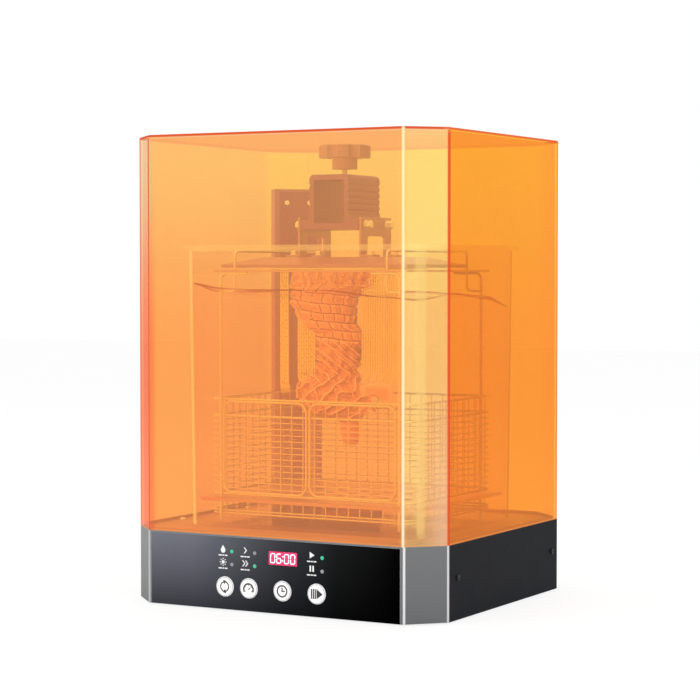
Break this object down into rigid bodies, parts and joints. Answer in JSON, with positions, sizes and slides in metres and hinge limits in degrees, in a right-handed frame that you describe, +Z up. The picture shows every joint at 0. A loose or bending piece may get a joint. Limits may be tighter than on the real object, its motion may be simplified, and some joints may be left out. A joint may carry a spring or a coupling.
{
  "type": "resin wash and cure station",
  "caption": "Free-standing resin wash and cure station: lift-off amber cover, clear tank with wire basket, build platform, lamp column and control base.",
  "frame": {"origin": "centre of the footprint on the ground plane, at the underside of the rubber feet", "axes": "+Z up, -Y towards the user (control panel side), +X to the user's right"},
  "size_m": [0.3292, 0.2976, 0.435],
  "materials": {
    "frame_grey": "satin grey coat",
    "panel_black": "high gloss",
    "display_filter": "clear tinted",
    "sheet_dark": "fine powder coat",
    "deck_metal": "satin",
    "rubber_black": "matt",
    "screw_black": "black oxide",
    "screw_bright": "bright",
    "board_green": "solder mask",
    "display_body": "lit face",
    "led_lens": "diffusing",
    "button_white": "satin",
    "switch_black": "moulded",
    "motor_steel": "drawn can",
    "rotor_nylon": "moulded",
    "magnet_nickel": "nickel plated",
    "cable_black": "matt",
    "tower_body": "fine texture",
    "tower_window": "smoked",
    "uv_led": "clear dome",
    "hood_amber": "clear tinted, polished",
    "tank_clear": "clear, moulded",
    "impeller_black": "moulded",
    "stainless_wire": "electropolished",
    "stainless_sheet": "brushed",
    "anodised_plate": "bead blasted, anodised",
    "anodised_arm": "black anodised",
    "bolt_steel": "bright",
    "knob_black": "moulded",
    "cured_resin": "wet resin"
  },
  "bodies": {
    "base": {"front_frame": "frame_grey", "front_panel": "panel_black", "display_window": "display_filter", "side_panel_left": "sheet_dark", "side_panel_right": "sheet_dark", "rear_panel": "sheet_dark", "bottom_plate": "sheet_dark", "deck_plate": "deck_metal", "corner_brackets": "sheet_dark", "rubber_feet": "rubber_black", "panel_screws": "screw_black", "bottom_screws": "screw_black", "deck_screws": "screw_bright", "control_board": "board_green", "inner_screws": "screw_bright", "display_module": "display_body", "status_leds": "uv_led", "indicator_lenses": "led_lens", "button_switches": "switch_black", "buzzer": "switch_black", "drive_motor": "motor_steel", "motor_bracket": "sheet_dark", "bracket_screws": "screw_bright", "power_jack": "switch_black", "power_switch_body": "switch_black", "lid_sensor": "board_green", "cables": "cable_black", "lamp_tower_housing": "tower_body", "lamp_window": "tower_window", "lamp_board": "board_green", "lamp_leds": "uv_led", "lamp_screws": "screw_bright"},
    "button_mode_body": {"button_mode": "button_white"},
    "button_speed_body": {"button_speed": "button_white"},
    "button_time_body": {"button_time": "button_white"},
    "button_start_body": {"button_start": "button_white"},
    "rocker_body": {"power_rocker": "switch_black"},
    "rotor_body": {"magnet_rotor": "rotor_nylon", "drive_magnets": "magnet_nickel"},
    "tank_body": {"wash_tank": "tank_clear", "impeller_pivot": "stainless_wire"},
    "impeller_body": {"impeller": "impeller_black", "impeller_magnets": "magnet_nickel"},
    "basket_body": {"basket_frame": "stainless_wire", "basket_mesh": "stainless_wire", "basket_front_frames": "stainless_wire", "basket_bails": "stainless_wire", "baffle_plate": "stainless_sheet", "hanger_plate": "stainless_sheet"},
    "platform_body": {"build_plate": "anodised_plate", "clamp_cheek_left": "anodised_plate", "clamp_cheek_right": "anodised_plate", "arm_block": "anodised_arm", "clamp_bolts": "bolt_steel", "sample_print": "cured_resin", "print_supports": "cured_resin"},
    "knob_body": {"knob": "knob_black", "knob_screw": "bolt_steel"},
    "hood_body": {"hood": "hood_amber", "hood_magnet": "magnet_nickel"}
  },
  "joints": [
    {"name": "button_mode_press", "type": "slide", "parent": "base", "child": "button_mode_body", "axis": [0, 1, 0], "range_m": [0, 0.001], "stiffness_N_per_m": 900},
    {"name": "button_speed_press", "type": "slide", "parent": "base", "child": "button_speed_body", "axis": [0, 1, 0], "range_m": [0, 0.001], "stiffness_N_per_m": 900},
    {"name": "button_time_press", "type": "slide", "parent": "base", "child": "button_time_body", "axis": [0, 1, 0], "range_m": [0, 0.001], "stiffness_N_per_m": 900},
    {"name": "button_start_press", "type": "slide", "parent": "base", "child": "button_start_body", "axis": [0, 1, 0], "range_m": [0, 0.001], "stiffness_N_per_m": 900},
    {"name": "power_rocker_tilt", "type": "hinge", "parent": "base", "child": "rocker_body", "pos_m": [0.1, 0.1436, 0.034], "axis": [1, 0, 0], "range_deg": [-8, 8]},
    {"name": "stirrer_spin", "type": "hinge", "parent": "base", "child": "rotor_body", "pos_m": [0, 0.002, 0.06], "axis": [0, 0, 1], "continuous": true},
    {"name": "tank_lift", "type": "slide", "parent": "base", "child": "tank_body", "axis": [0, 0, 1], "range_m": [0, 0.33]},
    {"name": "impeller_spin", "type": "hinge", "parent": "tank_body", "child": "impeller_body", "pos_m": [0, 0.002, 0.08], "axis": [0, 0, 1], "continuous": true},
    {"name": "basket_lift", "type": "slide", "parent": "tank_body", "child": "basket_body", "axis": [0, 0, 1], "range_m": [0, 0.27]},
    {"name": "platform_lift", "type": "slide", "parent": "basket_body", "child": "platform_body", "axis": [0, 0, 1], "range_m": [0, 0.19]},
    {"name": "knob_turn", "type": "hinge", "parent": "platform_body", "child": "knob_body", "pos_m": [-0.0015, -0.01, 0.41], "axis": [0, 0, 1], "continuous": true},
    {"name": "hood_lift", "type": "slide", "parent": "platform_body", "child": "hood_body", "axis": [0, 0, 1], "range_m": [0, 0.38]}
  ],
  "couplings": [
    {"joint": "impeller_spin", "follows": "stirrer_spin", "ratio": 1}
  ]
}
